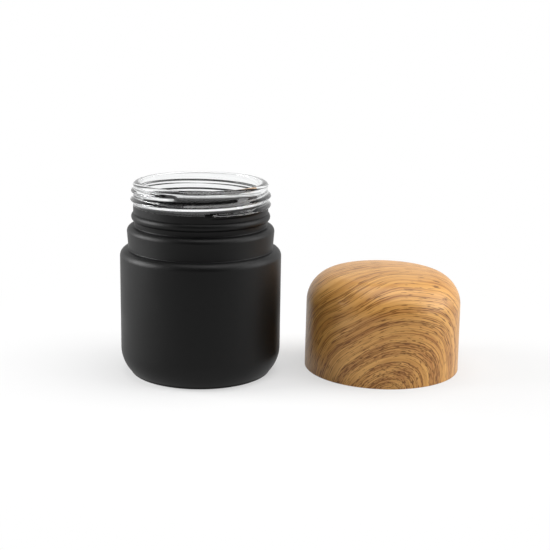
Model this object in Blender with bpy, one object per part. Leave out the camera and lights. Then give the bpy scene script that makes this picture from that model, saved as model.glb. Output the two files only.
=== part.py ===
"""A cosmetic cream jar, open, with its screw cap set down beside it.

The jar is clear pressed glass with a threaded neck, sprayed black from its neck bead down to its foot.
The cap is a domed outer shell that grips a threaded inner cap, which holds a sealing liner.
Units are metres and +Z is up. The origin is on the surface that jar and cap stand on, in the middle of
the ground that they cover.
"""

from math import asin, ceil, cos, pi, sin, sqrt

import bmesh
import bpy

MM = 0.001
DEGREE = pi / 180

# Mesh fineness
SEGMENTS = 40                       # facets round every turned piece
ARC_STEP = 22 * DEGREE              # longest turn between two points of an arc
SMOOTH_ANGLE = 35 * DEGREE          # edges sharper than this stay sharp
WELD = 1e-6                         # points closer than this are one point

# Fits
FIT_GAP = 0.3 * MM                  # between pieces that touch
THREAD_GAP = 0.3 * MM               # radial play between the two threads
SKIRT_GAP = 0.65 * MM               # radial play of the cap's skirt over the collar
SEAT_GAP = 0.5 * MM                 # skirt to shoulder when the cap is screwed home

# Glass neck, from the mouth outwards and from the rim down
MOUTH_RADIUS = 22.5 * MM
NECK_WALL = 2.45 * MM
RIM_ROUND = 0.8 * MM
RIM_LAND = 2.7 * MM                 # plain neck above the thread
THREAD_PITCH = 3.35 * MM
THREAD_TURNS = 1.93
THREAD_DEPTH = 0.7 * MM
THREAD_ROOT_WIDTH = 1.9 * MM
THREAD_CREST_WIDTH = 0.7 * MM
THREAD_BURY = 0.5 * MM              # how deep a ridge is rooted in its wall
THREAD_START = -84.5 * DEGREE       # lower end, from +X towards +Y
THREAD_TAPER = 35 * DEGREE          # run-out at each end
THREAD_ABOVE_BEAD = 3.8 * MM

# Glass body, from the neck outwards and from the bead down
BEAD_STANDOUT = 0.92 * MM
BEAD_ROUND = 1.6 * MM
BEAD_ABOVE_COLLAR = 3.5 * MM
RECESS_DEPTH = 0.25 * MM            # groove between bead and collar
COLLAR_STANDOUT = 2.4 * MM
COLLAR_HEIGHT = 8.1 * MM
COLLAR_ROUND = 2.0 * MM
SHOULDER_LEDGE = 2.65 * MM
SHOULDER_ROUND = 2.5 * MM
BODY_HEIGHT = 47.4 * MM
BODY_WALL = 2.6 * MM
HEEL_HEIGHT = 8.0 * MM
HEEL_INSET = 4.0 * MM
FOOT_EDGE = 0.6 * MM                # bevel between heel and foot ring
FOOT_WIDTH = 5.0 * MM               # flat ring that the jar stands on
PUSH_UP = 1.4 * MM                  # hollow of the underside
FLOOR_THICKNESS = 5.5 * MM
INSIDE_ROUND = 6.0 * MM
COAT = 0.3 * MM

# Cap
SHELL_WALL = 1.5 * MM
DOME_CORNER = 12.0 * MM
DOME_CROWN = 121.0 * MM             # radius of the shallow top
SPRING_DROP = 1.44 * MM             # how far below the inner cap's top the dome starts
SNAP_BEAD = 0.6 * MM
SNAP_BEAD_HEIGHT = 0.8 * MM
PLATE = 1.2 * MM                    # top of the inner cap
PLATE_CHAMFER = 2.0 * MM
LINER = 1.2 * MM
RIB_COUNT = 6
RIB_THICKNESS = 1.2 * MM
RIB_INNER_RADIUS = 8.0 * MM
RIB_EDGE = 1.5 * MM                 # from a rib's outer end to the shell's inner wall
LUG_LENGTH = 5.0 * MM
LUG_THICKNESS = 1.2 * MM
LUG_HEIGHT = 2.5 * MM

# Where the two stand
SET_GAP = 9.8 * MM                  # clear space between jar and cap, along X
CAP_SET_BACK = 6.7 * MM             # how far the cap stands behind the jar, along Y

# Radii and levels that follow
NECK_RADIUS = MOUTH_RADIUS + NECK_WALL
BEAD_RADIUS = NECK_RADIUS + BEAD_STANDOUT
RECESS_RADIUS = NECK_RADIUS - RECESS_DEPTH
COLLAR_RADIUS = NECK_RADIUS + COLLAR_STANDOUT
BODY_RADIUS = COLLAR_RADIUS + SHOULDER_LEDGE
FOOT_RADIUS = BODY_RADIUS - HEEL_INSET
COLLAR_TOP = BODY_HEIGHT + COLLAR_HEIGHT
BEAD_LEVEL = COLLAR_TOP + BEAD_ABOVE_COLLAR
THREAD_LEVEL = BEAD_LEVEL + THREAD_ABOVE_BEAD
RIM_LEVEL = THREAD_LEVEL + THREAD_PITCH * THREAD_TURNS + RIM_LAND
GLASS_INSET = COAT + FIT_GAP
INSIDE_RADIUS = BODY_RADIUS - GLASS_INSET - BODY_WALL

# The same for the cap, above its own skirt edge
SHELL_BORE = COLLAR_RADIUS + SKIRT_GAP
CAP_RADIUS = SHELL_BORE + SHELL_WALL
SKIRT_LEVEL = BODY_HEIGHT + SEAT_GAP
LINER_LEVEL = RIM_LEVEL - SKIRT_LEVEL
PLATE_LEVEL = LINER_LEVEL + LINER + FIT_GAP
PLATE_TOP = PLATE_LEVEL + PLATE
SPRING_LEVEL = PLATE_TOP - SPRING_DROP
SNAP_LEVEL = COLLAR_TOP - SKIRT_LEVEL + FIT_GAP
INNER_CAP_FOOT = SNAP_LEVEL + SNAP_BEAD_HEIGHT + FIT_GAP
INNER_CAP_RADIUS = SHELL_BORE - FIT_GAP
INNER_CAP_BORE = BEAD_RADIUS + THREAD_GAP
LINER_RADIUS = INNER_CAP_BORE - FIT_GAP

# Places of the two axes, with the set centred on the origin
SET_LENGTH = 2 * BODY_RADIUS + SET_GAP + 2 * CAP_RADIUS
JAR_X = BODY_RADIUS - SET_LENGTH / 2
CAP_X = SET_LENGTH / 2 - CAP_RADIUS
SET_FRONT = min(-BODY_RADIUS, CAP_SET_BACK - CAP_RADIUS)
SET_REAR = max(BODY_RADIUS, CAP_SET_BACK + CAP_RADIUS)
JAR_Y = -(SET_FRONT + SET_REAR) / 2
CAP_Y = JAR_Y + CAP_SET_BACK


def clear_scene():
    for existing in list(bpy.data.objects):
        bpy.data.objects.remove(existing, do_unlink=True)


def axis_empty(name, x, y):
    """An empty on a vertical axis, to which the pieces on that axis are parented."""
    empty = bpy.data.objects.new(name, None)
    empty.location = (x, y, 0)
    bpy.context.scene.collection.objects.link(empty)
    return empty


def finish(name, colour, roughness, transmission=0.0, ior=1.5):
    material = bpy.data.materials.new(name)
    material.use_nodes = True
    shader = material.node_tree.nodes["Principled BSDF"]
    shader.inputs["Base Color"].default_value = (*colour, 1)
    shader.inputs["Roughness"].default_value = roughness
    shader.inputs["Metallic"].default_value = 0.0
    shader.inputs["Transmission Weight"].default_value = transmission
    shader.inputs["IOR"].default_value = ior
    return material


def piece(name, shape, axis, material=None):
    """Turn a bmesh into a named object on an axis; with no material it is a hidden helper."""
    mesh = bpy.data.meshes.new(name)
    shape.to_mesh(mesh)
    shape.free()
    mesh.shade_smooth()
    mesh.set_sharp_from_angle(angle=SMOOTH_ANGLE)
    made = bpy.data.objects.new(name, mesh)
    made.parent = axis
    bpy.context.scene.collection.objects.link(made)
    if material:
        mesh.materials.append(material)
    else:
        made.hide_render = True
        made.display_type = "WIRE"
    return made


def join(body, helper):
    """Union a hidden helper into a piece."""
    union = body.modifiers.new(helper.name, "BOOLEAN")
    union.operation = "UNION"
    union.solver = "EXACT"
    union.object = helper


def arc(centre_radius, centre_level, radius, start, end):
    """Points (radius, level) on an arc in the turning plane, its ends included."""
    steps = max(1, ceil(abs(end - start) / ARC_STEP))
    points = []
    for step in range(steps + 1):
        angle = start + (end - start) * step / steps
        points.append((centre_radius + radius * cos(angle), centre_level + radius * sin(angle)))
    return points


def turned(outline):
    """Spin an outline that starts and ends on the axis, or closes on itself, into a solid."""
    shape = bmesh.new()
    corners = [shape.verts.new((radius, 0, level)) for radius, level in outline]
    for first, second in zip(corners, corners[1:]):
        shape.edges.new((first, second))
    if outline[0][0] > 0:
        shape.edges.new((corners[-1], corners[0]))
    bmesh.ops.spin(
        shape,
        geom=shape.verts[:] + shape.edges[:],
        cent=(0, 0, 0),
        axis=(0, 0, 1),
        angle=2 * pi,
        steps=SEGMENTS,
        use_merge=True,
    )
    bmesh.ops.remove_doubles(shape, verts=shape.verts[:], dist=WELD)
    bmesh.ops.recalc_face_normals(shape, faces=shape.faces[:])
    return shape


def helical_ridge(wall_radius, outward, level):
    """A thread ridge rooted in a wall.

    outward is 1 for a ridge on the outside of a wall and -1 for one inside a bore; level is the height of
    the ridge's middle at its lower end.
    """
    shape = bmesh.new()
    steps = ceil(THREAD_TURNS * SEGMENTS)
    sweep = THREAD_TURNS * 2 * pi
    rings = []
    for step in range(steps + 1):
        turned_by = sweep * step / steps
        fullness = min(1, turned_by / THREAD_TAPER, (sweep - turned_by) / THREAD_TAPER)
        crest = THREAD_DEPTH * fullness - THREAD_BURY / 2 * (1 - fullness)
        angle = THREAD_START + turned_by
        middle = level + THREAD_PITCH * turned_by / (2 * pi)
        section = [
            (-THREAD_BURY, -THREAD_ROOT_WIDTH / 2),
            (crest, -THREAD_CREST_WIDTH / 2),
            (crest, THREAD_CREST_WIDTH / 2),
            (-THREAD_BURY, THREAD_ROOT_WIDTH / 2),
        ]
        ring = []
        for depth, height in section:
            radius = wall_radius + outward * depth
            ring.append(shape.verts.new((radius * cos(angle), radius * sin(angle), middle + height)))
        rings.append(ring)
    for lower, upper in zip(rings, rings[1:]):
        for corner in range(len(lower)):
            following = (corner + 1) % len(lower)
            shape.faces.new((lower[corner], lower[following], upper[following], upper[corner]))
    shape.faces.new(rings[0])
    shape.faces.new(rings[-1])
    bmesh.ops.recalc_face_normals(shape, faces=shape.faces[:])
    return shape


def radial_plates(outline, thickness, offset):
    """One upright plate on each rib's bearing, drawn by an outline and moved sideways by an offset."""
    shape = bmesh.new()
    for rib in range(RIB_COUNT):
        bearing = 2 * pi * rib / RIB_COUNT
        along = (cos(bearing), sin(bearing))
        across = (-sin(bearing), cos(bearing))
        side = offset - thickness / 2
        corners = []
        for radius, level in outline:
            x = along[0] * radius + across[0] * side
            y = along[1] * radius + across[1] * side
            corners.append(shape.verts.new((x, y, level)))
        face = shape.faces.new(corners)
        grown = bmesh.ops.extrude_face_region(shape, geom=[face], use_keep_orig=True)
        moved = [item for item in grown["geom"] if isinstance(item, bmesh.types.BMVert)]
        bmesh.ops.translate(shape, verts=moved, vec=(across[0] * thickness, across[1] * thickness, 0))
    bmesh.ops.recalc_face_normals(shape, faces=shape.faces[:])
    return shape


def heel_outline(inset):
    """The wall from the foot's edge up the rounded heel to the straight body, drawn in by an inset."""
    rise = HEEL_HEIGHT - FOOT_EDGE
    heel_round = (rise ** 2 + HEEL_INSET ** 2) / (2 * HEEL_INSET)
    sweep = asin(rise / heel_round)
    return arc(BODY_RADIUS - heel_round, HEEL_HEIGHT, heel_round - inset, -sweep, 0)


def shoulder_outline(inset):
    """The wall from the shoulder over collar and recess to the top of the bead, drawn in by an inset."""
    shoulder_round = min(SHOULDER_ROUND, SHOULDER_LEDGE)
    shoulder = arc(
        BODY_RADIUS - shoulder_round, BODY_HEIGHT - shoulder_round, shoulder_round - inset, 0, pi / 2
    )
    collar_round = min(COLLAR_ROUND, COLLAR_STANDOUT)
    collar = arc(
        COLLAR_RADIUS - collar_round, COLLAR_TOP - collar_round, collar_round - inset, 0, pi / 2
    )
    bead = arc(BEAD_RADIUS - BEAD_ROUND, BEAD_LEVEL, BEAD_ROUND - inset, -pi / 3, pi / 4)
    return [
        *shoulder,
        (COLLAR_RADIUS - inset, BODY_HEIGHT - inset),
        *collar,
        (RECESS_RADIUS - inset, COLLAR_TOP - inset),
        (RECESS_RADIUS - inset, BEAD_LEVEL - BEAD_ROUND),
        *bead,
    ]


def glass_inside():
    """The cavity's wall, from the mouth down to the middle of its floor."""
    shoulder_round = INSIDE_RADIUS - MOUTH_RADIUS
    inside_shoulder = arc(MOUTH_RADIUS, BODY_HEIGHT - BODY_WALL - shoulder_round, shoulder_round, pi / 2, 0)
    inside_heel = arc(
        INSIDE_RADIUS - INSIDE_ROUND, FLOOR_THICKNESS + INSIDE_ROUND, INSIDE_ROUND, 0, -pi / 2
    )
    return [*inside_shoulder, *inside_heel, (0, FLOOR_THICKNESS)]


def glass_jar(axis):
    rim_level = RIM_LEVEL - RIM_ROUND
    rim = [
        *arc(NECK_RADIUS - RIM_ROUND, rim_level, RIM_ROUND, 0, pi / 2),
        *arc(MOUTH_RADIUS + RIM_ROUND, rim_level, RIM_ROUND, pi / 2, pi),
    ]
    outline = [
        (0, PUSH_UP),
        (FOOT_RADIUS - FOOT_WIDTH, 0),
        (FOOT_RADIUS - FOOT_EDGE - GLASS_INSET, 0),
        *heel_outline(GLASS_INSET),
        *shoulder_outline(GLASS_INSET),
        (NECK_RADIUS, BEAD_LEVEL + BEAD_ROUND),
        *rim,
        *glass_inside(),
    ]
    glass = finish("clear glass", (0.86, 0.9, 0.89), 0.03, transmission=1.0, ior=1.52)
    jar = piece("glass_jar", turned(outline), axis, glass)
    join(jar, piece("neck_thread", helical_ridge(NECK_RADIUS, 1, THREAD_LEVEL), axis))
    return jar


def black_coat(axis):
    outside = [*heel_outline(0), *shoulder_outline(0)]
    inside = [*heel_outline(COAT), *shoulder_outline(COAT)]
    outline = [*outside, *reversed(inside)]
    lacquer = finish("matt black lacquer", (0.012, 0.012, 0.013), 0.55)
    return piece("black_coat", turned(outline), axis, lacquer)


def dome_outline(inset):
    """The dome's wall from the spring line up to the axis, drawn in by an inset."""
    corner_radius = CAP_RADIUS - DOME_CORNER
    lean = asin(corner_radius / (DOME_CROWN - DOME_CORNER))
    crown_centre = SPRING_LEVEL - (DOME_CROWN - DOME_CORNER) * cos(lean)
    crown = DOME_CROWN - inset
    halfway = corner_radius / 2
    return [
        *arc(corner_radius, SPRING_LEVEL, DOME_CORNER - inset, 0, pi / 2 - lean),
        (halfway, crown_centre + sqrt(crown ** 2 - halfway ** 2)),
        (0, crown_centre + crown),
    ]


def rib_outline():
    """A rib's side view: it is rooted in the dome's wall and stops just above the inner cap."""
    outer_radius = SHELL_BORE - RIB_EDGE
    rooted = [
        (radius, level)
        for radius, level in dome_outline(SHELL_WALL / 2)
        if RIB_INNER_RADIUS < radius < outer_radius
    ]
    foot = PLATE_TOP + FIT_GAP
    return [
        (outer_radius, foot),
        (outer_radius, rooted[0][1]),
        *rooted,
        (RIB_INNER_RADIUS, rooted[-1][1]),
        (RIB_INNER_RADIUS, foot),
    ]


def cap_shell(axis):
    snap = [
        (SHELL_BORE, SNAP_LEVEL + SNAP_BEAD_HEIGHT),
        (SHELL_BORE - SNAP_BEAD, SNAP_LEVEL + SNAP_BEAD_HEIGHT),
        (SHELL_BORE - SNAP_BEAD, SNAP_LEVEL + SNAP_BEAD_HEIGHT / 2),
        (SHELL_BORE, SNAP_LEVEL),
    ]
    outline = [
        *reversed(dome_outline(0)),
        (CAP_RADIUS, 0),
        (SHELL_BORE, 0),
        *reversed(snap),
        *dome_outline(SHELL_WALL),
    ]
    print_finish = finish("wood-grain printed ABS", (0.52, 0.3, 0.12), 0.35)
    shell = piece("cap_shell", turned(outline), axis, print_finish)
    join(shell, piece("shell_ribs", radial_plates(rib_outline(), RIB_THICKNESS, 0), axis))
    return shell


def inner_cap(axis):
    outline = [
        (0, PLATE_TOP),
        (INNER_CAP_RADIUS - PLATE_CHAMFER, PLATE_TOP),
        (INNER_CAP_RADIUS, PLATE_TOP - PLATE_CHAMFER),
        (INNER_CAP_RADIUS, INNER_CAP_FOOT),
        (INNER_CAP_BORE, INNER_CAP_FOOT),
        (INNER_CAP_BORE, PLATE_LEVEL),
        (0, PLATE_LEVEL),
    ]
    polypropylene = finish("white polypropylene", (0.82, 0.82, 0.8), 0.4)
    inner = piece("inner_cap", turned(outline), axis, polypropylene)
    thread_level = THREAD_LEVEL - SKIRT_LEVEL - THREAD_PITCH / 2
    join(inner, piece("bore_thread", helical_ridge(INNER_CAP_BORE, -1, thread_level), axis))
    lug_end = RIB_INNER_RADIUS + LUG_LENGTH
    lug_foot = PLATE_TOP - PLATE / 2
    lug = [
        (RIB_INNER_RADIUS, lug_foot),
        (lug_end, lug_foot),
        (lug_end, PLATE_TOP + LUG_HEIGHT),
        (RIB_INNER_RADIUS, PLATE_TOP + LUG_HEIGHT),
    ]
    beside_rib = RIB_THICKNESS / 2 + FIT_GAP + LUG_THICKNESS / 2
    for side, label in ((1, "left"), (-1, "right")):
        join(inner, piece(f"{label}_lugs", radial_plates(lug, LUG_THICKNESS, side * beside_rib), axis))
    return inner


def sealing_liner(axis):
    outline = [
        (0, LINER_LEVEL + LINER),
        (LINER_RADIUS, LINER_LEVEL + LINER),
        (LINER_RADIUS, LINER_LEVEL),
        (0, LINER_LEVEL),
    ]
    foam = finish("polyethylene foam", (0.9, 0.9, 0.88), 0.7)
    return piece("sealing_liner", turned(outline), axis, foam)


def main():
    clear_scene()
    jar_axis = axis_empty("jar_axis", JAR_X, JAR_Y)
    cap_axis = axis_empty("cap_axis", CAP_X, CAP_Y)
    glass_jar(jar_axis)
    black_coat(jar_axis)
    cap_shell(cap_axis)
    inner_cap(cap_axis)
    sealing_liner(cap_axis)


main()
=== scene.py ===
"""Dresses an open cosmetic cream jar and its screw cap for a studio picture.

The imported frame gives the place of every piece. Each piece that shows is turned here as a fine mesh in the
space of its solid, and gets a finish worked out from what the real one is made of.
"""

import logging
from dataclasses import dataclass, field
from enum import Enum
from math import asin, atan2, cos, degrees, pi, radians, sin, sqrt
from typing import Callable, Optional, Union

import bmesh
import bpy
from mathutils import Matrix, Vector


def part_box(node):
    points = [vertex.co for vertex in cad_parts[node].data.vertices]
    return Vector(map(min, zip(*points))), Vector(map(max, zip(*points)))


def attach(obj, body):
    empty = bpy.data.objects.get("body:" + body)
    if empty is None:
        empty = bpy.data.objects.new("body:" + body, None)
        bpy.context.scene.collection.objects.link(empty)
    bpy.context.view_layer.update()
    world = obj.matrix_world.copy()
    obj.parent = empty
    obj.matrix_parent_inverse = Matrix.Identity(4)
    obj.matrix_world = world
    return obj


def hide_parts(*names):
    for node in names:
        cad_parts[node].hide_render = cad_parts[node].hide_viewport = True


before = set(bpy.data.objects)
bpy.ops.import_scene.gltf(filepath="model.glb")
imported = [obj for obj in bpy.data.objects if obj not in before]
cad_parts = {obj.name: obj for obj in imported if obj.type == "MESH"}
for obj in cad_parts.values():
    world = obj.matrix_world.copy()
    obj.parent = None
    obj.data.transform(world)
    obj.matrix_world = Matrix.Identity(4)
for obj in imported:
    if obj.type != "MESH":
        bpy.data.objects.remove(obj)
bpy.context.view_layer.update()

MM = 0.001
FULL_TURN = 2 * pi
WELD = 1e-7
SMOOTH_ANGLE = radians(40)
PHOTO_PIXELS = 550
WHITE = "#FFFFFF"
LAMPS_AIM = Vector((0, 0, 0.035))

Point = tuple[float, float]
Span = tuple[float, float]
Tree = bpy.types.NodeTree
Socket = bpy.types.NodeSocket
Feed = Union[Socket, float, tuple]

log = logging.getLogger("cream_jar")


class Body(Enum):
    """Bodies of the frame that pieces ride on."""

    JAR = "jar"
    LINER = "liner"
    CAP = "cap"


class Slot(Enum):
    """Material slots of the record."""

    GLASS = "clear_glass"
    LACQUER = "black_lacquer"
    WOOD_PRINT = "wood_print"
    WHITE_PLASTIC = "white_plastic"
    FOAM = "liner_foam"


class Blend(Enum):
    """What a mix node mixes, and its sockets for that: first input, second input and result."""

    NUMBERS = ("FLOAT", 2, 3, 0)
    COLOURS = ("RGBA", 6, 7, 2)


def linear(colour: str) -> tuple[float, float, float, float]:
    """Turn an sRGB hex colour into linear light.

    Args:
        colour: six hex digits after a hash sign.

    Returns:
        Red, green, blue and full alpha.
    """
    parts = [int(colour[start:start + 2], 16) / 255 for start in (1, 3, 5)]
    light = [part / 12.92 if part <= 0.04045 else ((part + 0.055) / 1.055) ** 2.4 for part in parts]
    return (*light, 1.0)


def feed(tree: Tree, node: bpy.types.Node, feeds: dict[Union[str, int], Feed]) -> None:
    """Feed the inputs of a node.

    Args:
        tree: node tree that has the node.
        node: the node.
        feeds: what feeds each input, by the input's name or number: a socket, or a constant.
    """
    for name, value in feeds.items():
        if isinstance(value, Socket):
            tree.links.new(value, node.inputs[name])
        else:
            node.inputs[name].default_value = value


def add_node(
    tree: Tree, kind: str, feeds: Optional[dict[Union[str, int], Feed]] = None, **settings: object
) -> bpy.types.Node:
    """Add a node with its settings and links.

    Args:
        tree: node tree that gets the node.
        kind: the node's type name.
        feeds: what feeds each input, by the input's name or number: a socket, or a constant.
        settings: properties of the node itself.

    Returns:
        The new node.
    """
    node = tree.nodes.new(kind)
    for name, value in settings.items():
        setattr(node, name, value)
    feed(tree, node, feeds or {})
    return node


def compute(tree: Tree, operation: str, *values: Feed) -> Socket:
    """Work out one number from others.

    Args:
        tree: node tree that gets the node.
        operation: the math node's operation.
        values: what it works on, in order.

    Returns:
        The result.
    """
    return add_node(tree, "ShaderNodeMath", dict(enumerate(values)), operation=operation).outputs[0]


def remap(
    tree: Tree, value: Socket, target: Span, source: Span = (0.0, 1.0), interpolation: str = "LINEAR"
) -> Socket:
    """Carry a number from one span to another and hold it there.

    Args:
        tree: node tree that gets the node.
        value: the number.
        target: span of the result.
        source: span of the number.
        interpolation: how the result runs between the ends of its span.

    Returns:
        The result.
    """
    return add_node(tree, "ShaderNodeMapRange", {
        "Value": value,
        "From Min": source[0], "From Max": source[1],
        "To Min": target[0], "To Max": target[1],
    }, interpolation_type=interpolation).outputs["Result"]


def blend(tree: Tree, share: Socket, first: Feed, second: Feed, kind: Blend = Blend.COLOURS) -> Socket:
    """Mix two colours or two numbers.

    Args:
        tree: node tree that gets the node.
        share: how much of the second goes in, from 0 to 1.
        first: what is there without it.
        second: what goes in.
        kind: whether both are colours or numbers.

    Returns:
        The mix.
    """
    data_type, first_input, second_input, result = kind.value
    feeds = {0: share, first_input: first, second_input: second}
    return add_node(tree, "ShaderNodeMix", feeds, data_type=data_type).outputs[result]


def noise(
    tree: Tree,
    place: Socket,
    size: float,
    detail: float,
    roughness: float = 0.5,
    stir: float = 0.0,
    dimensions: str = "3D",
) -> Socket:
    """Add a cloudy pattern.

    Args:
        tree: node tree that gets the node.
        place: where the pattern is looked up.
        size: width of its clouds, in the unit of the place.
        detail: how many finer layers it has.
        roughness: how strong the finer layers are.
        stir: how much the clouds are distorted.
        dimensions: whether it fills a plane or a space.

    Returns:
        A number that wanders about a half.
    """
    return add_node(tree, "ShaderNodeTexNoise", {
        "Vector": place, "Scale": 1 / size, "Detail": detail, "Roughness": roughness, "Distortion": stir,
    }, noise_dimensions=dimensions).outputs["Fac"]


def bump(tree: Tree, height: Socket, height_mm: float, strength: float) -> Socket:
    """Add a relief too fine for the mesh.

    Args:
        tree: node tree that gets the node.
        height: the relief, from 0 to 1.
        height_mm: how high 1 stands, in millimetres.
        strength: how much of it shows.

    Returns:
        The surface's normal.
    """
    feeds = {"Height": height, "Distance": height_mm * MM, "Strength": strength}
    return add_node(tree, "ShaderNodeBump", feeds).outputs["Normal"]


@dataclass
class Outline:
    """Half section of a turned piece: points of (radius, level) in millimetres, drawn in order."""

    points: list[Point] = field(default_factory=list)

    def to(self, radius: float, level: float, steps: int = 1) -> "Outline":
        """Draw a straight stretch.

        Args:
            radius: distance of its end from the axis.
            level: height of its end.
            steps: how many parts it is cut into.

        Returns:
            This outline.
        """
        if not self.points:
            self.points.append((radius, level))
            return self
        from_radius, from_level = self.points[-1]
        for step in range(1, steps + 1):
            share = step / steps
            self.points.append((
                from_radius + (radius - from_radius) * share,
                from_level + (level - from_level) * share,
            ))
        return self

    def arc(self, centre: Point, radius: float, start: float, end: float, steps: int = 12) -> "Outline":
        """Draw a round stretch.

        Args:
            centre: its centre.
            radius: its radius.
            start: direction of its first point from the centre, in degrees from outwards towards up.
            end: direction of its last point.
            steps: how many parts it is cut into.

        Returns:
            This outline.
        """
        for step in range(steps + 1):
            angle = radians(start + (end - start) * step / steps)
            self.points.append((centre[0] + radius * cos(angle), centre[1] + radius * sin(angle)))
        return self

    def follow(self, other: "Outline") -> "Outline":
        """Go on along another outline.

        Args:
            other: the outline to go along, from its start to its end.

        Returns:
            This outline.
        """
        self.points.extend(other.points)
        return self

    def back_along(self, other: "Outline") -> "Outline":
        """Go on along another outline the other way.

        Args:
            other: the outline to go along, from its end to its start.

        Returns:
            This outline.
        """
        self.points.extend(reversed(other.points))
        return self

    def spun(self, axis: Vector, segments: int) -> bmesh.types.BMesh:
        """Spin the outline round an upright axis into a closed shape.

        Args:
            axis: foot of the axis, in metres.
            segments: facets round the shape.

        Returns:
            The shape in metres, with its faces pointing outwards.
        """
        shape = bmesh.new()
        corners = [
            shape.verts.new((axis.x + radius * MM, axis.y, level * MM)) for radius, level in self.points
        ]
        for first, second in zip(corners, corners[1:]):
            shape.edges.new((first, second))
        if self.points[0][0] * MM > WELD:
            shape.edges.new((corners[-1], corners[0]))
        bmesh.ops.spin(
            shape,
            geom=shape.verts[:] + shape.edges[:],
            cent=(axis.x, axis.y, 0),
            axis=(0, 0, 1),
            angle=FULL_TURN,
            steps=segments,
            use_merge=True,
        )
        bmesh.ops.remove_doubles(shape, verts=shape.verts[:], dist=WELD)
        bmesh.ops.recalc_face_normals(shape, faces=shape.faces[:])
        return shape


@dataclass(frozen=True)
class ScrewThread:
    """A rounded single-start right-hand thread, in metres and radians."""

    start: float
    turns: float
    pitch: float
    level: float
    depth: float
    width: float
    taper: float

    def rise(self, bearing: float, level: float) -> float:
        """Height of the ridge over its wall.

        Args:
            bearing: direction from the axis, from +X towards +Y.
            level: height above the floor.

        Returns:
            How far the ridge stands out there.
        """
        above_start = level - self.level
        if not -self.width < above_start < self.turns * self.pitch + self.width:
            return 0.0
        sweep = self.turns * FULL_TURN
        turned = (bearing - self.start) % FULL_TURN
        tallest = 0.0
        while turned <= sweep:
            middle = self.level + self.pitch * turned / FULL_TURN
            offset = abs(level - middle) / (self.width / 2)
            if offset < 1:
                run_out = min(1.0, turned / self.taper, (sweep - turned) / self.taper)
                fullness = sin(run_out * pi / 2)
                tallest = max(tallest, self.depth * fullness * cos(offset * pi / 2) ** 2)
            turned += FULL_TURN
        return tallest

    def press(
        self,
        shape: bmesh.types.BMesh,
        axis: Vector,
        on_wall: Callable[[float], bool],
        outward: float,
    ) -> None:
        """Move a wall's points along the ridge.

        Args:
            shape: the shape that has the wall.
            axis: foot of the thread's axis.
            on_wall: tells from its radius whether a point is on that wall.
            outward: 1 for a ridge outside the wall, -1 for one in a bore.
        """
        for vert in shape.verts:
            x, y = vert.co.x - axis.x, vert.co.y - axis.y
            radius = sqrt(x * x + y * y)
            if radius < WELD or not on_wall(radius):
                continue
            grown = (radius + outward * self.rise(atan2(y, x), vert.co.z)) / radius
            vert.co.x = axis.x + x * grown
            vert.co.y = axis.y + y * grown


def make_piece(
    name: str, shape: bmesh.types.BMesh, material: bpy.types.Material, body: Body
) -> bpy.types.Object:
    """Turn a shape into a dressed piece that rides on a body.

    Args:
        name: the piece's name.
        shape: its shape, which is used up.
        material: its finish.
        body: what it moves with.

    Returns:
        The piece.
    """
    mesh = bpy.data.meshes.new(name)
    shape.to_mesh(mesh)
    shape.free()
    mesh.shade_smooth()
    mesh.set_sharp_from_angle(angle=SMOOTH_ANGLE)
    mesh.materials.append(material)
    piece = bpy.data.objects.new(name, mesh)
    bpy.context.scene.collection.objects.link(piece)
    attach(piece, body.value)
    log.info("%s: %d faces, rides on %s", name, len(mesh.polygons), body.value)
    return piece


def start_material(name: str) -> tuple[bpy.types.Material, Tree, bpy.types.Node, Socket]:
    """Start a material.

    Args:
        name: what the finish is.

    Returns:
        The material, its node tree, its shader, and the place on the piece in metres.
    """
    material = bpy.data.materials.new(name)
    material.use_nodes = True
    tree = material.node_tree
    place = add_node(tree, "ShaderNodeTexCoord").outputs["Object"]
    return material, tree, tree.nodes["Principled BSDF"], place


@dataclass(frozen=True)
class ClearGlass:
    """Pressed soda-lime glass: clear, with a faint cool cast and a soft waviness left by the mould."""

    tint: str = "#FDFEFE"
    ior: float = 1.52
    roughness: Span = (0.0, 0.024)
    wave_mm: float = 9.0
    wave_detail: float = 1.0
    wave_height_mm: float = 0.004
    wave_strength: float = 0.3

    def material(self) -> bpy.types.Material:
        """Build the finish."""
        material, tree, shader, place = start_material("pressed clear glass")
        wave = noise(tree, place, self.wave_mm * MM, self.wave_detail)
        feed(tree, shader, {
            "Base Color": linear(self.tint),
            "Transmission Weight": 1.0,
            "IOR": self.ior,
            "Roughness": remap(tree, wave, self.roughness),
            "Normal": bump(tree, wave, self.wave_height_mm, self.wave_strength),
        })
        return material


@dataclass(frozen=True)
class MattLacquer:
    """Sprayed black lacquer with a matting agent: deep black, a weak broad sheen and a fine spray grain."""

    black: str = "#040404"
    worn_black: str = "#070707"
    specular: float = 0.2
    roughness: Span = (0.42, 0.5)
    cloud_mm: float = 14.0
    cloud_detail: float = 3.0
    cloud_span: Span = (0.3, 0.7)
    grain_mm: float = 0.4
    grain_detail: float = 2.0
    grain_roughness: float = 0.6
    grain_height_mm: float = 0.004
    grain_strength: float = 0.5

    def material(self) -> bpy.types.Material:
        """Build the finish. The spray grain is drawn coarser than it is so that it shows."""
        material, tree, shader, place = start_material("matt black lacquer")
        cloud = noise(tree, place, self.cloud_mm * MM, self.cloud_detail)
        grain = noise(tree, place, self.grain_mm * MM, self.grain_detail, self.grain_roughness)
        feed(tree, shader, {
            "Base Color": blend(tree, cloud, linear(self.black), linear(self.worn_black)),
            "Specular IOR Level": self.specular,
            "Roughness": remap(tree, cloud, self.roughness, self.cloud_span),
            "Normal": bump(tree, grain, self.grain_height_mm, self.grain_strength),
        })
        return material


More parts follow.
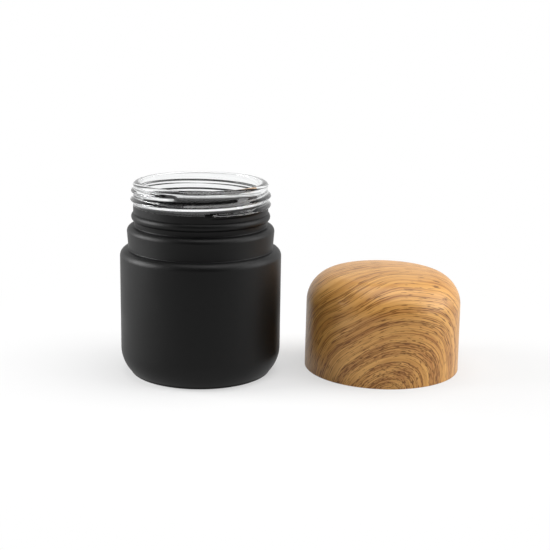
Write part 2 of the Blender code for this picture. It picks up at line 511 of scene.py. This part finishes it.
@dataclass(frozen=True)
class GrainStroke:
    """One kind of printed grain stroke.

    Attributes:
        ink: its colour.
        depth: how much of the ground it covers, from 0 to 1.
        across: its width, in millimetres.
        along: its length at the arches' usual radius, in millimetres.
        sparse: how rare it is, as the level that a streak has to pass.
        softness: how far past that level it is full.
        crowding: how much a crowded ring lowers that level.
    """

    ink: str
    depth: float
    across: float
    along: float
    sparse: float
    softness: float
    crowding: float


@dataclass(frozen=True)
class WoodPrint:
    """Wood-grain transfer print under satin lacquer on a moulded cap.

    The grain is that of a flat-sawn board: growth rings in nested arches that lean as they spread from a
    heart low on the front. Broken brown strokes run along the rings on a golden tan ground, thick in some
    rings and thin in others.

    Attributes:
        heart: where the arches spread from.
        rings: distance of a ring from the heart in millimetres, and how thick its strokes are, 0 to 1.
        strokes: the strokes, in the order they are printed.
    """

    heart: Vector
    ground_light: str = "#DDAA60"
    ground_dark: str = "#AE7636"
    arch_lean: float = 0.28
    arch_height: float = 1.12
    arch_radius_mm: float = 20.0
    sway_mm: float = 32.0
    sway_detail: float = 1.0
    sway_span: Span = (0.2, 0.8)
    sway_share: float = 0.05
    ripple_mm: float = 4.0
    ripple_detail: float = 2.0
    ripple_by_mm: float = 0.3
    tone_mm: float = 1.1
    tone_length_mm: float = 30.0
    streak_detail: float = 1.0
    streak_roughness: float = 0.4
    streak_stir: float = 0.25
    shine: float = 0.38
    roughness: Span = (0.38, 0.46)
    rings: tuple[Span, ...] = (
        (0.0, 0.4), (6.2, 0.35), (6.9, 0.9), (7.6, 0.3), (8.5, 0.85), (9.3, 0.3), (10.7, 0.9),
        (11.5, 0.3), (12.4, 0.7), (13.0, 0.3), (13.8, 0.9), (14.6, 0.1), (16.1, 0.15), (16.9, 0.8),
        (18.3, 0.5), (19.2, 0.8), (20.7, 0.75), (21.6, 0.35), (25.3, 0.3), (27.1, 0.5), (27.7, 1.0),
        (28.4, 0.45), (30.4, 0.4), (32.0, 0.65), (34.0, 0.3), (37.0, 0.45), (39.5, 0.25), (43.0, 0.4),
        (46.0, 0.2), (51.0, 0.35),
    )
    strokes: tuple[GrainStroke, ...] = (
        GrainStroke(
            "#935A2E", depth=0.45, across=1.6, along=14.0, sparse=0.6, softness=0.35, crowding=0.35
        ),
        GrainStroke(
            "#7A4716", depth=0.72, across=0.42, along=24.0, sparse=0.62, softness=0.18, crowding=0.22
        ),
        GrainStroke(
            "#643910", depth=0.8, across=0.36, along=2.8, sparse=0.7, softness=0.13, crowding=0.28
        ),
    )

    def material(self) -> bpy.types.Material:
        """Build the finish."""
        material, tree, shader, place = start_material("wood-grain print")
        along, ring = self.growth_rings(tree, place)
        inked, cover = self.inked(tree, along, ring)
        feed(tree, shader, {
            "Base Color": inked,
            "Specular IOR Level": self.shine,
            "Roughness": remap(tree, cover, self.roughness),
        })
        return material

    def growth_rings(self, tree: Tree, place: Socket) -> tuple[Socket, Socket]:
        """Lay out the rings.

        Args:
            tree: node tree that gets the nodes.
            place: place on the piece, in metres.

        Returns:
            Place along a ring, and the ring's distance from the heart, both in millimetres.
        """
        from_heart = add_node(tree, "ShaderNodeMapping", {
            "Vector": place,
            "Location": tuple(-part / MM for part in self.heart),
            "Scale": (1 / MM, 1 / MM, 1 / MM),
        }).outputs["Vector"]
        axes = add_node(tree, "ShaderNodeSeparateXYZ", {"Vector": from_heart})
        aside = compute(tree, "MULTIPLY_ADD", axes.outputs["Z"], -self.arch_lean, axes.outputs["X"])
        height = compute(tree, "MULTIPLY", axes.outputs["Z"], 1 / self.arch_height)
        bearing = compute(tree, "ARCTAN2", aside, height)
        along = compute(tree, "MULTIPLY", bearing, self.arch_radius_mm)
        arch = add_node(tree, "ShaderNodeCombineXYZ", {"X": aside, "Y": axes.outputs["Y"], "Z": height})
        ring = add_node(tree, "ShaderNodeVectorMath", {0: arch.outputs["Vector"]}, operation="LENGTH")
        sway = noise(tree, from_heart, self.sway_mm, self.sway_detail)
        stretch = remap(tree, sway, (1 - self.sway_share, 1 + self.sway_share), self.sway_span)
        swayed = compute(tree, "MULTIPLY", ring.outputs["Value"], stretch)
        ripple = noise(tree, from_heart, self.ripple_mm, self.ripple_detail)
        return along, compute(tree, "MULTIPLY_ADD", ripple, self.ripple_by_mm, swayed)

    def crowding(self, tree: Tree, ring: Socket) -> Socket:
        """Tell how thick the strokes are on a ring.

        Args:
            tree: node tree that gets the nodes.
            ring: the ring's distance from the heart.

        Returns:
            0 where strokes are rare to 1 where they are thick.
        """
        widest = self.rings[-1][0]
        ramp = add_node(tree, "ShaderNodeValToRGB", {"Fac": compute(tree, "MULTIPLY", ring, 1 / widest)})
        elements = ramp.color_ramp.elements
        for distance, crowded in self.rings[1:-1]:
            elements.new(distance / widest).color = (crowded, crowded, crowded, 1)
        for element, (_, crowded) in ((elements[0], self.rings[0]), (elements[-1], self.rings[-1])):
            element.color = (crowded, crowded, crowded, 1)
        return ramp.outputs["Color"]

    def streaks(self, tree: Tree, along: Socket, ring: Socket, length_mm: float, width_mm: float) -> Socket:
        """Make streaks that run along the rings.

        Args:
            tree: node tree that gets the nodes.
            along: place along a ring.
            ring: the ring's distance from the heart.
            length_mm: length of a streak.
            width_mm: width of a streak.

        Returns:
            A number that wanders about a half.
        """
        spot = add_node(tree, "ShaderNodeCombineXYZ", {
            "X": compute(tree, "MULTIPLY", along, 1 / length_mm),
            "Y": compute(tree, "MULTIPLY", ring, 1 / width_mm),
        }).outputs["Vector"]
        return noise(tree, spot, 1.0, self.streak_detail, self.streak_roughness, self.streak_stir, "2D")

    def inked(self, tree: Tree, along: Socket, ring: Socket) -> tuple[Socket, Socket]:
        """Ink the broken strokes on their ground.

        Args:
            tree: node tree that gets the nodes.
            along: place along a ring.
            ring: the ring's distance from the heart.

        Returns:
            The inked colour, and how much of it is the last stroke's.
        """
        crowded = self.crowding(tree, ring)
        tone = self.streaks(tree, along, ring, self.tone_length_mm, self.tone_mm)
        colour = blend(tree, tone, linear(self.ground_dark), linear(self.ground_light))
        for stroke in self.strokes:
            streak = self.streaks(tree, along, ring, stroke.along, stroke.across)
            thick = compute(tree, "MULTIPLY_ADD", crowded, stroke.crowding, streak)
            passed = (stroke.sparse, stroke.sparse + stroke.softness)
            cover = remap(tree, thick, (0.0, stroke.depth), passed, "SMOOTHSTEP")
            colour = blend(tree, cover, colour, linear(stroke.ink))
        return colour, cover


@dataclass(frozen=True)
class MouldedPlastic:
    """Natural white polypropylene from a polished mould: slightly waxy, with faint flow marks."""

    light: str = "#EFEEEA"
    dark: str = "#E6E5E0"
    ior: float = 1.49
    wax: float = 0.1
    wax_depth_mm: float = 1.0
    roughness: Span = (0.34, 0.46)
    flow_mm: float = 6.0
    flow_detail: float = 3.0
    flow_stir: float = 1.5

    def material(self) -> bpy.types.Material:
        """Build the finish."""
        material, tree, shader, place = start_material("white polypropylene")
        flow = noise(tree, place, self.flow_mm * MM, self.flow_detail, stir=self.flow_stir)
        feed(tree, shader, {
            "Base Color": blend(tree, flow, linear(self.dark), linear(self.light)),
            "IOR": self.ior,
            "Subsurface Weight": self.wax,
            "Subsurface Scale": self.wax_depth_mm * MM,
            "Roughness": remap(tree, flow, self.roughness),
        })
        return material


@dataclass(frozen=True)
class LinerFoam:
    """Fine-celled expanded polyethylene sheet: dull white, with cells that show as a soft dimpled skin."""

    skin: str = "#F3F2EE"
    cell: str = "#E4E2DC"
    specular: float = 0.3
    roughness: float = 0.75
    cell_mm: float = 0.6
    cell_height_mm: float = 0.06
    cell_strength: float = 0.4

    def material(self) -> bpy.types.Material:
        """Build the finish."""
        material, tree, shader, place = start_material("polyethylene foam")
        cells = add_node(tree, "ShaderNodeTexVoronoi", {
            "Vector": place, "Scale": 1 / (self.cell_mm * MM),
        }).outputs["Distance"]
        feed(tree, shader, {
            "Base Color": blend(tree, cells, linear(self.skin), linear(self.cell)),
            "Specular IOR Level": self.specular,
            "Roughness": self.roughness,
            "Normal": bump(tree, cells, self.cell_height_mm, self.cell_strength),
        })
        return material


@dataclass
class GlassJar:
    """The glass jar and the lacquer on it, in millimetres."""

    mouth_radius: float = 22.5
    neck_wall: float = 2.45
    lip_crown: float = 0.6
    lip_round: float = 2.2
    lip_slope_degrees: float = 38.0
    lip_corner: float = 0.45
    lip_undercut_degrees: float = 15.0
    waist_round: float = 6.6
    waist_depth: float = 2.0
    thread_start_degrees: float = -84.5
    thread_turns: float = 1.94
    thread_pitch: float = 3.35
    thread_depth: float = 1.0
    thread_width: float = 2.5
    thread_taper_degrees: float = 18.0
    thread_above_bead: float = 3.8
    bead_standout: float = 0.75
    bead_round: float = 1.6
    bead_sweep_degrees: float = 62.0
    bead_above_collar: float = 3.5
    recess_depth: float = 0.5
    collar_standout: float = 2.4
    collar_taper: float = 0.5
    collar_height: float = 8.5
    collar_round: float = 2.0
    shoulder_round: float = 2.8
    shoulder_slope_degrees: float = 10.0
    shoulder_fillet: float = 0.3
    body_height: float = 47.0
    body_wall: float = 3.2
    heel_height: float = 9.5
    heel_inset: float = 3.5
    foot_round: float = 0.75
    foot_sweep_degrees: float = 65.0
    foot_width: float = 5.0
    push_up: float = 1.4
    push_up_round: float = 4.2
    push_up_sweep_degrees: float = 20.0
    floor_thickness: float = 5.5
    inside_round: float = 6.0
    film: float = 0.03
    film_bite: float = 0.07
    film_above_bead: float = 4.2
    segments: int = 384
    neck_rows: int = 72

    def __post_init__(self) -> None:
        """Take the jar's axis, radius and height from the frame."""
        low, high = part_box("black_coat")
        self.axis = (low + high) / 2
        self.body_radius = (high.x - low.x) / 2 / MM
        self.rim_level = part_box("glass_jar")[1].z / MM
        self.neck_radius = self.mouth_radius + self.neck_wall
        self.collar_top = self.body_height + self.collar_height
        self.bead_level = self.collar_top + self.bead_above_collar
        self.thread = ScrewThread(
            start=radians(self.thread_start_degrees),
            turns=self.thread_turns,
            pitch=self.thread_pitch * MM,
            level=(self.bead_level + self.thread_above_bead) * MM,
            depth=self.thread_depth * MM,
            width=self.thread_width * MM,
            taper=radians(self.thread_taper_degrees),
        )

    def build(self) -> None:
        """Make the glass and its lacquer."""
        glass = make_piece("jar_glass", self.glass_shape(), ClearGlass().material(), Body.JAR)
        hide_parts("glass_jar")
        lacquer = make_piece(
            "jar_lacquer", self.lacquer_shape(), MattLacquer().material(), Body.JAR
        )
        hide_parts("black_coat")

    def outside(self, inset: float, top: float) -> Outline:
        """Draw the outside from the middle of the underside up the neck.

        Args:
            inset: how far below the lacquer's face it lies, in millimetres.
            top: level on the neck where it ends, in millimetres.

        Returns:
            The outline.
        """
        foot_radius = self.body_radius - self.heel_inset
        heel_rise = self.heel_height - self.foot_round
        heel_round = (heel_rise ** 2 + self.heel_inset ** 2) / (2 * self.heel_inset)
        heel_sweep = degrees(asin(heel_rise / heel_round))
        foot_centre = (foot_radius - self.foot_round, self.foot_round)
        foot_end = self.foot_sweep_degrees - 90
        push_up_centre = (foot_radius - self.foot_width, self.push_up_round + inset)
        push_up_start = -90 - self.push_up_sweep_degrees
        collar_radius = self.neck_radius + self.collar_standout
        collar_foot = collar_radius - self.collar_taper
        bead_centre = self.neck_radius + self.bead_standout - self.bead_round
        recess_radius = self.neck_radius - self.recess_depth - inset
        shoulder_level = self.body_height - inset
        shoulder_drop = self.shoulder_round * cos(radians(self.shoulder_slope_degrees))
        fillet = self.shoulder_fillet
        drawn = Outline()
        drawn.to(0, self.push_up + inset)
        drawn.arc(push_up_centre, self.push_up_round, push_up_start, -90, steps=4)
        drawn.arc(foot_centre, self.foot_round - inset, -90, foot_end, steps=6)
        drawn.arc(
            (self.body_radius - heel_round, self.heel_height),
            heel_round - inset, -heel_sweep, 0, steps=20,
        )
        drawn.arc(
            (self.body_radius - self.shoulder_round, self.body_height - shoulder_drop),
            self.shoulder_round - inset, 0, 90 - self.shoulder_slope_degrees, steps=16,
        )
        drawn.arc((collar_foot - inset + fillet, shoulder_level + fillet), fillet, -90, -180, steps=5)
        drawn.arc(
            (collar_radius - self.collar_round, self.collar_top - self.collar_round),
            self.collar_round - inset, 0, 90, steps=14,
        )
        drawn.arc((recess_radius + fillet, self.collar_top - inset + fillet), fillet, -90, -180, steps=5)
        drawn.arc(
            (bead_centre, self.bead_level),
            self.bead_round - inset, -self.bead_sweep_degrees, self.bead_sweep_degrees, steps=16,
        )
        neck_rows = round(self.neck_rows * (top - self.bead_level) / (self.rim_level - self.bead_level))
        drawn.to(self.neck_radius - inset, self.bead_level + self.bead_round)
        return drawn.to(self.neck_radius - inset, top, neck_rows)

    def glass_shape(self) -> bmesh.types.BMesh:
        """Turn the glass, with its thread pressed out of the neck."""
        lip = self.lip()
        inside_radius = self.body_radius - self.body_wall
        shoulder_round = inside_radius - self.mouth_radius
        shoulder_level = self.body_height - self.body_wall - shoulder_round
        inside = Outline()
        inside.arc((self.mouth_radius, shoulder_level), shoulder_round, 90, 0, steps=16)
        inside.arc(
            (inside_radius - self.inside_round, self.floor_thickness + self.inside_round),
            self.inside_round, 0, -90, steps=16,
        )
        inside.to(0, self.floor_thickness)
        outline = self.outside(self.film, lip.points[0][1]).follow(lip).follow(inside)
        shape = outline.spun(self.axis, self.segments)
        self.press_thread(shape)
        return shape

    def lip(self) -> Outline:
        """Draw the lip from the neck's wall over its crown into the mouth.

        Its top slopes outwards from the crown, and its rolled edge overhangs a slight waist.

        Returns:
            The outline.
        """
        slope = radians(self.lip_slope_degrees)
        undercut = radians(self.lip_undercut_degrees)
        crown_radius = self.mouth_radius + self.lip_crown
        slope_centre = (crown_radius, self.rim_level - self.lip_round)
        reach = self.lip_round - self.lip_corner
        corner_centre = (slope_centre[0] + reach * cos(slope), slope_centre[1] + reach * sin(slope))
        waist_reach = self.waist_round + self.lip_corner
        waist_centre = (
            corner_centre[0] + waist_reach * cos(undercut), corner_centre[1] - waist_reach * sin(undercut),
        )
        drawn = Outline()
        drawn.to(self.neck_radius - self.film, waist_centre[1] - self.waist_depth)
        drawn.to(waist_centre[0] - self.waist_round, waist_centre[1], steps=12)
        drawn.arc(waist_centre, self.waist_round, 180, 180 - self.lip_undercut_degrees, steps=12)
        drawn.arc(
            corner_centre, self.lip_corner, -self.lip_undercut_degrees, self.lip_slope_degrees, steps=8
        )
        drawn.arc(slope_centre, self.lip_round, self.lip_slope_degrees, 90, steps=12)
        drawn.arc((crown_radius, self.rim_level - self.lip_crown), self.lip_crown, 90, 180, steps=8)
        return drawn

    def lacquer_shape(self) -> bmesh.types.BMesh:
        """Turn the lacquer film, which bites a little into the glass so that no air lies between."""
        top = self.bead_level + self.film_above_bead
        outline = self.outside(0, top).back_along(self.outside(self.film + self.film_bite, top))
        shape = outline.spun(self.axis, self.segments)
        self.press_thread(shape)
        return shape

    def press_thread(self, shape: bmesh.types.BMesh) -> None:
        """Press the thread out of the outside of the neck."""
        middle_of_wall = (self.mouth_radius + self.neck_wall / 2) * MM
        self.thread.press(shape, self.axis, lambda radius: radius > middle_of_wall, 1)


@dataclass
class ScrewCap:
    """The cap's printed shell, threaded inner cap and liner, in millimetres."""

    dome_corner: float = 12.0
    dome_crown: float = 121.0
    draft: float = 0.22
    shell_wall: float = 1.5
    rim_edge: float = 0.25
    snap_bead: float = 0.6
    snap_bead_height: float = 0.8
    snap_level: float = 7.9
    plate: float = 1.2
    plate_chamfer: float = 2.0
    bore_wall: float = 1.53
    thread_turns: float = 1.93
    thread_pitch: float = 3.35
    thread_depth: float = 0.7
    thread_width: float = 2.2
    thread_level: float = 13.2
    thread_taper_degrees: float = 35.0
    thread_rows: int = 72
    rib_count: int = 6
    rib_thickness: float = 1.2
    rib_inner_radius: float = 8.0
    rib_outer_radius: float = 26.0
    rib_root_stride: int = 4
    rib_gap: float = 0.3
    lug_length: float = 5.0
    lug_height: float = 2.5
    edge: float = 0.2
    heart_right: float = -1.2
    heart_drop: float = 5.0
    segments: int = 192

    def __post_init__(self) -> None:
        """Take the cap's axis and main sizes from the frame."""
        low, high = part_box("cap_shell")
        self.axis = (low + high) / 2
        self.radius = (high.x - low.x) / 2 / MM
        self.height = high.z / MM
        inner_low, inner_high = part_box("inner_cap")
        self.inner_radius = (inner_high.x - inner_low.x) / 2 / MM
        self.inner_foot = inner_low.z / MM
        self.plate_top = inner_high.z / MM - self.lug_height
        self.corner_radius = self.radius - self.draft - self.dome_corner
        self.crown_centre = self.height - self.dome_crown
        reach = self.dome_crown - self.dome_corner
        self.lean = asin(self.corner_radius / reach)
        self.spring_level = self.crown_centre + reach * cos(self.lean)

    def build(self) -> None:
        """Make the shell with its ribs, the inner cap with its lugs, and the liner."""
        heart = Vector((
            self.axis.x + self.heart_right * MM, self.axis.y - self.radius * MM, -self.heart_drop * MM,
        ))
        wood = WoodPrint(heart).material()
        white = MouldedPlastic().material()
        shell = make_piece("cap_shell_printed", self.shell_shape(), wood, Body.CAP)
        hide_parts("cap_shell")
        make_piece("cap_shell_ribs", self.rib_shape(), wood, Body.CAP)
        inner = make_piece("cap_inner", self.inner_shape(), white, Body.CAP)
        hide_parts("inner_cap")
        make_piece("cap_drive_lugs", self.lug_shape(), white, Body.CAP)
        liner = make_piece("cap_liner", self.liner_shape(), LinerFoam().material(), Body.LINER)
        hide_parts("sealing_liner")

    def dome(self, inset: float) -> Outline:
        """Draw the dome from the spring line up to the axis.

        Args:
            inset: how far inside the outer face it lies, in millimetres.

        Returns:
            The outline.
        """
        corner_end = 90 - degrees(self.lean)
        drawn = Outline()
        drawn.arc(
            (self.corner_radius, self.spring_level), self.dome_corner - inset, 0, corner_end, steps=24
        )
        drawn.arc((0, self.crown_centre), self.dome_crown - inset, corner_end, 90, steps=16)
        # The last point lies on the axis exactly, so that the spin closes there.
        drawn.points[-1] = (0, drawn.points[-1][1])
        return drawn

    def shell_shape(self) -> bmesh.types.BMesh:
        """Turn the shell, with a snap bead in its bore."""
        bore = self.radius - self.shell_wall
        snap_top = self.snap_level + self.snap_bead_height
        drawn = Outline().back_along(self.dome(0))
        drawn.arc((self.radius - self.rim_edge, self.rim_edge), self.rim_edge, 0, -90, steps=5)
        drawn.arc((bore + self.rim_edge, self.rim_edge), self.rim_edge, -90, -180, steps=5)
        drawn.to(bore, self.snap_level)
        drawn.to(bore - self.snap_bead, self.snap_level + self.snap_bead_height / 2)
        drawn.to(bore - self.snap_bead, snap_top)
        drawn.to(bore, snap_top)
        return drawn.follow(self.dome(self.shell_wall)).spun(self.axis, self.segments)

    def plates(self, corners: list[Point], sideways: float) -> bmesh.types.BMesh:
        """Stand one plate on each rib's bearing.

        Args:
            corners: its side view, in millimetres.
            sideways: how far it stands to the left of the bearing, in millimetres.

        Returns:
            The plates as one shape.
        """
        shape = bmesh.new()
        for rib in range(self.rib_count):
            face = shape.faces.new([
                shape.verts.new((radius * MM, (sideways - self.rib_thickness / 2) * MM, level * MM))
                for radius, level in corners
            ])
            grown = bmesh.ops.extrude_face_region(shape, geom=[face], use_keep_orig=True)["geom"]
            added = [item for item in grown if isinstance(item, bmesh.types.BMVert)]
            bmesh.ops.translate(shape, verts=added, vec=(0, self.rib_thickness * MM, 0))
            bmesh.ops.rotate(
                shape, verts=added + list(face.verts), cent=(0, 0, 0),
                matrix=Matrix.Rotation(FULL_TURN * rib / self.rib_count, 3, "Z"),
            )
        bmesh.ops.recalc_face_normals(shape, faces=shape.faces[:])
        bmesh.ops.bevel(
            shape, geom=shape.edges[:], offset=self.edge * MM, affect="EDGES",
            segments=2, profile=0.5, material=-1,
        )
        bmesh.ops.translate(shape, verts=shape.verts[:], vec=(self.axis.x, self.axis.y, 0))
        return shape

    def rib_shape(self) -> bmesh.types.BMesh:
        """Make the ribs under the dome, rooted in its wall and stopping just above the inner cap."""
        foot = self.plate_top + self.rib_gap
        rooted = [
            point for point in self.dome(self.shell_wall / 2).points[::self.rib_root_stride]
            if self.rib_inner_radius < point[0] < self.rib_outer_radius
        ]
        corners = [(rooted[0][0], foot), *rooted, (self.rib_inner_radius, rooted[-1][1])]
        return self.plates([*corners, (self.rib_inner_radius, foot)], 0)

    def lug_shape(self) -> bmesh.types.BMesh:
        """Make the pairs of lugs that hold each rib between them."""
        end = self.rib_inner_radius + self.lug_length
        foot = self.plate_top - self.plate / 2
        top = self.plate_top + self.lug_height
        corners = [(self.rib_inner_radius, foot), (end, foot), (end, top), (self.rib_inner_radius, top)]
        beside = self.rib_thickness + self.rib_gap
        shape = self.plates(corners, beside)
        other_side = self.plates(corners, -beside)
        mesh = bpy.data.meshes.new("other_lugs")
        other_side.to_mesh(mesh)
        other_side.free()
        shape.from_mesh(mesh)
        bpy.data.meshes.remove(mesh)
        return shape

    def inner_shape(self) -> bmesh.types.BMesh:
        """Turn the inner cap, with its thread pressed into the bore."""
        bore = self.inner_radius - self.bore_wall
        under_plate = self.plate_top - self.plate
        drawn = Outline()
        drawn.to(0, self.plate_top)
        drawn.to(self.inner_radius - self.plate_chamfer, self.plate_top)
        drawn.to(self.inner_radius, self.plate_top - self.plate_chamfer)
        drawn.arc((self.inner_radius - self.edge, self.inner_foot + self.edge), self.edge, 0, -90, steps=3)
        drawn.arc((bore + self.edge, self.inner_foot + self.edge), self.edge, -90, -180, steps=3)
        drawn.to(bore, under_plate, self.thread_rows)
        drawn.to(0, under_plate)
        shape = drawn.spun(self.axis, self.segments)
        thread = ScrewThread(
            start=0.0,
            turns=self.thread_turns,
            pitch=self.thread_pitch * MM,
            level=self.thread_level * MM,
            depth=self.thread_depth * MM,
            width=self.thread_width * MM,
            taper=radians(self.thread_taper_degrees),
        )
        thread.press(
            shape, self.axis, lambda radius: abs(radius - bore * MM) < self.edge * MM / 2, -1
        )
        return shape

    def liner_shape(self) -> bmesh.types.BMesh:
        """Turn the liner disc, with its die-cut edge eased."""
        low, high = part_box("sealing_liner")
        radius = (high.x - low.x) / 2 / MM
        foot, top = low.z / MM, high.z / MM
        drawn = Outline()
        drawn.to(0, top)
        drawn.to(radius - self.edge, top, steps=8)
        drawn.to(radius, top - self.edge)
        drawn.to(radius, foot + self.edge)
        drawn.to(radius - self.edge, foot)
        drawn.to(0, foot, steps=8)
        return drawn.spun(self.axis, self.segments)


@dataclass(frozen=True)
class Softbox:
    """A rectangular studio light that points at the jar and its cap, in metres and watts."""

    name: str
    place: Vector
    width: float
    height: float
    watts: float

    def build(self) -> None:
        """Add the light."""
        lamp = bpy.data.lights.new(self.name, "AREA")
        lamp.shape = "RECTANGLE"
        lamp.size = self.width
        lamp.size_y = self.height
        lamp.energy = self.watts
        holder = bpy.data.objects.new(self.name, lamp)
        holder.location = self.place
        holder.rotation_euler = (LAMPS_AIM - self.place).to_track_quat("-Z", "Y").to_euler()
        # Refracted rays pass the lamp by, so the clear neck has no burnt-out patches.
        holder.visible_transmission = False
        bpy.context.scene.collection.objects.link(holder)


def seen_rays(tree: Tree) -> Socket:
    """Tell the rays that are seen, mirrored or looked at through glass from those that only light.

    Args:
        tree: node tree that gets the nodes.

    Returns:
        1 for such a ray, or else 0.
    """
    rays = add_node(tree, "ShaderNodeLightPath")
    mirrored = compute(tree, "MAXIMUM", rays.outputs["Is Camera Ray"], rays.outputs["Is Glossy Ray"])
    return compute(tree, "MAXIMUM", mirrored, rays.outputs["Is Transmission Ray"])


@dataclass(frozen=True)
class Studio:
    """A pale table that fades to white, in a light tent, seen by one camera. Lengths are in metres.

    Attributes:
        floor_glow: how white the table shows under the jar, from 0 for lit only to 1 for white.
        floor_fade: distances from the middle between which it fades from that to white.
        tent_light: how bright the tent is to rays that only light.
        room_light: how bright the room beyond the backdrop is in gloss and glass.
        backdrop_top: rise of a ray's heading at which the backdrop is last white and first dark.
        backdrop_side: the same for the heading's way from the camera.
    """

    floor_size: float = 12.0
    floor_colour: str = "#CECECE"
    floor_roughness: float = 0.9
    floor_glow: float = 0.52
    floor_fade: Span = (0.06, 0.17)
    tent_light: float = 0.04
    room_light: float = 0.04
    backdrop_top: Span = (0.45, 0.75)
    backdrop_side: Span = (0.4, 0.0)
    focal_pixels: float = 1206.4
    camera_right_of_jar: float = 0.02780
    camera_before_jar: float = 0.4398
    camera_level: float = 0.1428
    camera_nearest: float = 0.01
    look_down_degrees: float = 13.56
    roll_degrees: float = 0.9
    softboxes: tuple[Softbox, ...] = (
        Softbox("left_softbox", Vector((-0.75, 0.0, 0.3)), width=0.5, height=0.45, watts=9.0),
        Softbox("right_softbox", Vector((0.8, -0.05, 0.38)), width=0.7, height=0.7, watts=7.0),
        Softbox("top_softbox", Vector((0.17, 0.0, 0.9)), width=1.0, height=1.0, watts=10.5),
    )

    def build(self, jar_axis: Vector) -> None:
        """Add the table, the lights and the camera.

        Args:
            jar_axis: foot of the jar's axis, from which the camera is placed.
        """
        self.add_table()
        self.add_tent()
        for softbox in self.softboxes:
            softbox.build()
        self.add_camera(jar_axis)
        bpy.context.scene.view_settings.view_transform = "Standard"

    def add_table(self) -> None:
        """Add the table top."""
        shape = bmesh.new()
        bmesh.ops.create_grid(shape, x_segments=1, y_segments=1, size=self.floor_size / 2)
        mesh = bpy.data.meshes.new("table")
        shape.to_mesh(mesh)
        shape.free()
        material, tree, shader, place = start_material("white table")
        feed(tree, shader, {
            "Base Color": linear(self.floor_colour),
            "Roughness": self.floor_roughness,
            "Specular IOR Level": 0.0,
        })
        away = add_node(tree, "ShaderNodeVectorMath", {0: place}, operation="LENGTH").outputs["Value"]
        fade = remap(tree, away, (self.floor_glow, 1.0), self.floor_fade, "SMOOTHSTEP")
        white = add_node(tree, "ShaderNodeEmission", {"Color": linear(WHITE), "Strength": 1.0})
        seamless = add_node(tree, "ShaderNodeMixShader", {
            0: compute(tree, "MULTIPLY", fade, seen_rays(tree)),
            1: shader.outputs["BSDF"],
            2: white.outputs["Emission"],
        })
        feed(tree, tree.nodes["Material Output"], {"Surface": seamless.outputs["Shader"]})
        mesh.materials.append(material)
        table = bpy.data.objects.new("table", mesh)
        bpy.context.scene.collection.objects.link(table)

    def add_tent(self) -> None:
        """Add the tent: even light, a white backdrop, and a dimmer room beyond it for gloss and glass."""
        world = bpy.data.worlds.new("light tent")
        world.use_nodes = True
        tree = world.node_tree
        heading = add_node(tree, "ShaderNodeSeparateXYZ", {
            "Vector": add_node(tree, "ShaderNodeTexCoord").outputs["Generated"],
        })
        below_top = remap(tree, heading.outputs["Z"], (1.0, 0.0), self.backdrop_top, "SMOOTHSTEP")
        before_side = remap(tree, heading.outputs["Y"], (1.0, 0.0), self.backdrop_side, "SMOOTHSTEP")
        backdrop = compute(tree, "MULTIPLY", below_top, before_side)
        mirrored = blend(tree, backdrop, self.room_light, 1.0, Blend.NUMBERS)
        level = blend(tree, seen_rays(tree), self.tent_light, mirrored, Blend.NUMBERS)
        camera_ray = add_node(tree, "ShaderNodeLightPath").outputs["Is Camera Ray"]
        feed(tree, tree.nodes["Background"], {
            "Color": linear(WHITE),
            "Strength": blend(tree, camera_ray, level, 1.0, Blend.NUMBERS),
        })
        bpy.context.scene.world = world

    def add_camera(self, jar_axis: Vector) -> None:
        """Add the camera.

        Args:
            jar_axis: foot of the jar's axis.
        """
        camera = bpy.data.cameras.new("camera")
        camera.lens = camera.sensor_width * self.focal_pixels / PHOTO_PIXELS
        camera.clip_start = self.camera_nearest
        holder = bpy.data.objects.new("camera", camera)
        place = Vector((
            jar_axis.x + self.camera_right_of_jar, jar_axis.y - self.camera_before_jar, self.camera_level,
        ))
        holder.matrix_world = (
            Matrix.Translation(place)
            @ Matrix.Rotation(radians(90 - self.look_down_degrees), 4, "X")
            @ Matrix.Rotation(radians(self.roll_degrees), 4, "Z")
        )
        bpy.context.scene.collection.objects.link(holder)
        bpy.context.scene.camera = holder


def main() -> None:
    """Build the jar, its cap and the studio."""
    logging.basicConfig(level=logging.INFO, format="%(message)s")
    jar = GlassJar()
    jar.build()
    ScrewCap().build()
    Studio().build(jar.axis)


if __name__ == "__main__":
    main()
